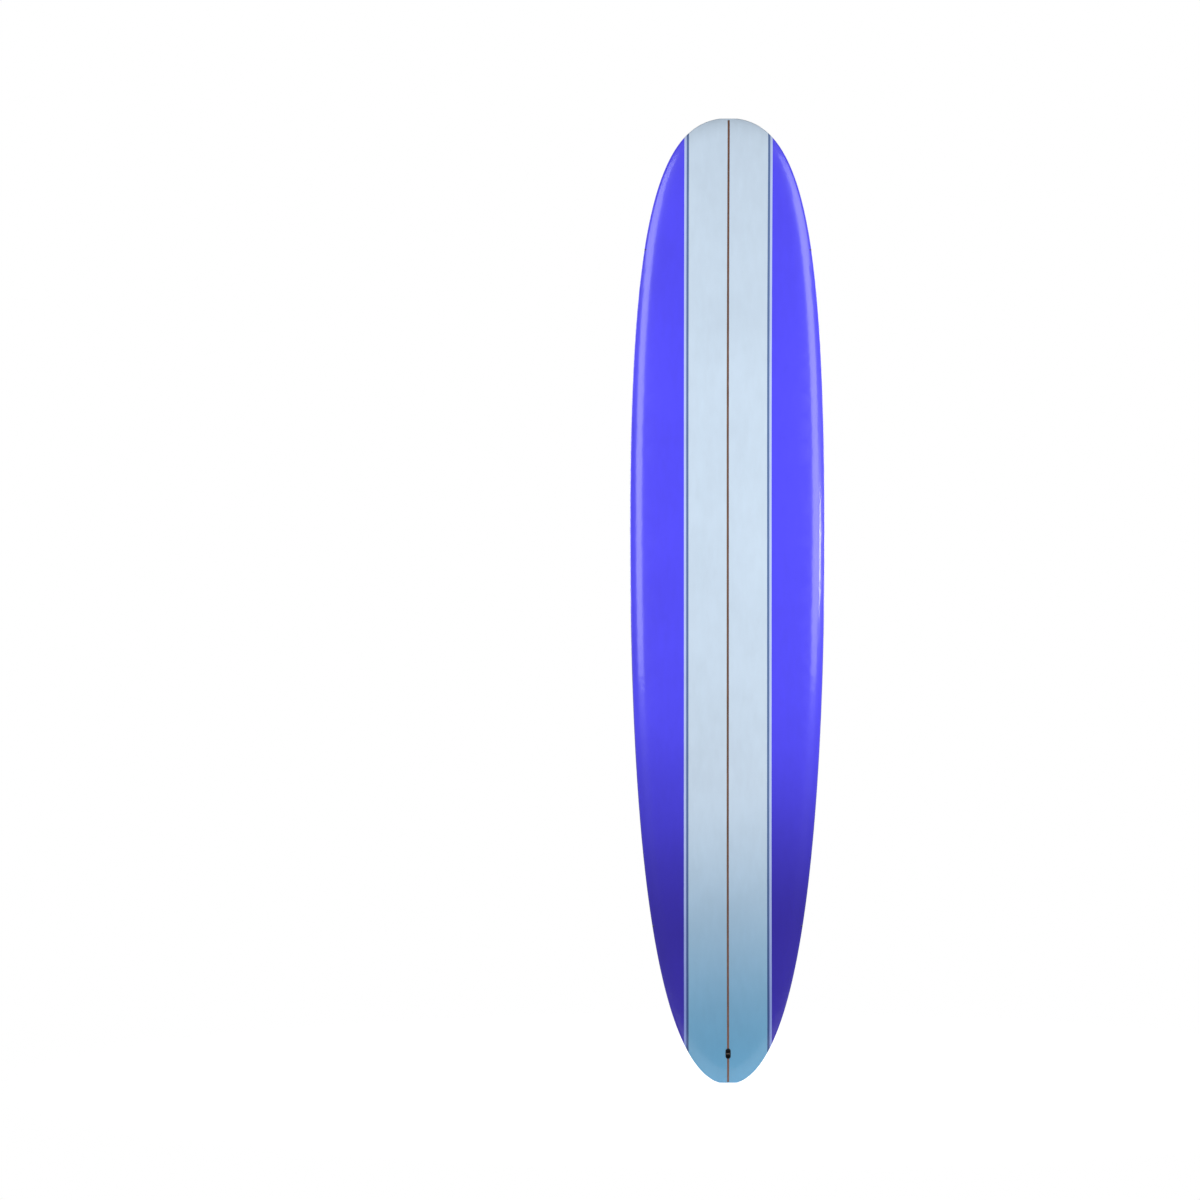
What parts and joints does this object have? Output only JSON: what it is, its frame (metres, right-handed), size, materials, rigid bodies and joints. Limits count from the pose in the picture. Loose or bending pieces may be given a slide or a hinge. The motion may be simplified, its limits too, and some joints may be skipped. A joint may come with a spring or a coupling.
{
  "type": "surfboard",
  "caption": "Soft-top longboard with a rounded nose, striped foam deck, wrapped rails, end bumpers, a slick bottom, a leash plug and removable swept fins.",
  "frame": {"origin": "at the upright_rack mount, on the floor under the middle of the bounding box, with the board standing on its tail", "axes": "+Z along the board from the tail to the nose, +X across the board, deck facing -Y, bottom and fins facing +Y"},
  "size_m": [0.559, 0.2995, 2.743],
  "materials": {
    "core_foam": "matte",
    "stringer_wood": "satin",
    "slick": "gloss",
    "rail_foam": "satin",
    "bead": "gloss",
    "pale_foam": "satin",
    "dark_foam": "satin",
    "white_foam": "satin",
    "blue_foam": "satin",
    "bumper_foam": "matte",
    "plug_plastic": "satin",
    "pin_steel": "satin",
    "box_plastic": "satin",
    "screw_steel": "satin",
    "fin_plastic": "satin"
  },
  "bodies": {
    "board": {"stringer": "stringer_wood", "bottom_skin": "slick", "nose_bumper": "bumper_foam", "tail_bumper": "bumper_foam", "leash_cup": "plug_plastic", "leash_pin": "pin_steel", "core_left": "core_foam", "core_right": "core_foam", "rail_left": "rail_foam", "rail_right": "rail_foam", "edge_bead_left": "bead", "edge_bead_right": "bead", "deck_band_left": "pale_foam", "deck_band_right": "pale_foam", "pinline_dark_left": "dark_foam", "pinline_dark_right": "dark_foam", "pinline_white_left": "white_foam", "pinline_white_right": "white_foam", "deck_panel_left": "blue_foam", "deck_panel_right": "blue_foam", "fin_box_left": "box_plastic", "fin_box_right": "box_plastic", "fin_box_center": "box_plastic", "fin_screws_left": "screw_steel", "fin_screws_right": "screw_steel", "fin_screws_center": "screw_steel"},
    "fin_left": {"fin_left": "fin_plastic"},
    "fin_right": {"fin_right": "fin_plastic"},
    "fin_center": {"fin_center": "fin_plastic"}
  },
  "joints": [
    {"name": "fin_left_slide", "type": "slide", "parent": "board", "child": "fin_left", "axis": [-0.0697, 0.9947, -0.0761], "range_m": [0, 0.035]},
    {"name": "fin_right_slide", "type": "slide", "parent": "board", "child": "fin_right", "axis": [0.0697, 0.9947, -0.0761], "range_m": [0, 0.035]},
    {"name": "fin_center_slide", "type": "slide", "parent": "board", "child": "fin_center", "axis": [0, 0.9902, -0.1397], "range_m": [0, 0.035]}
  ]
}
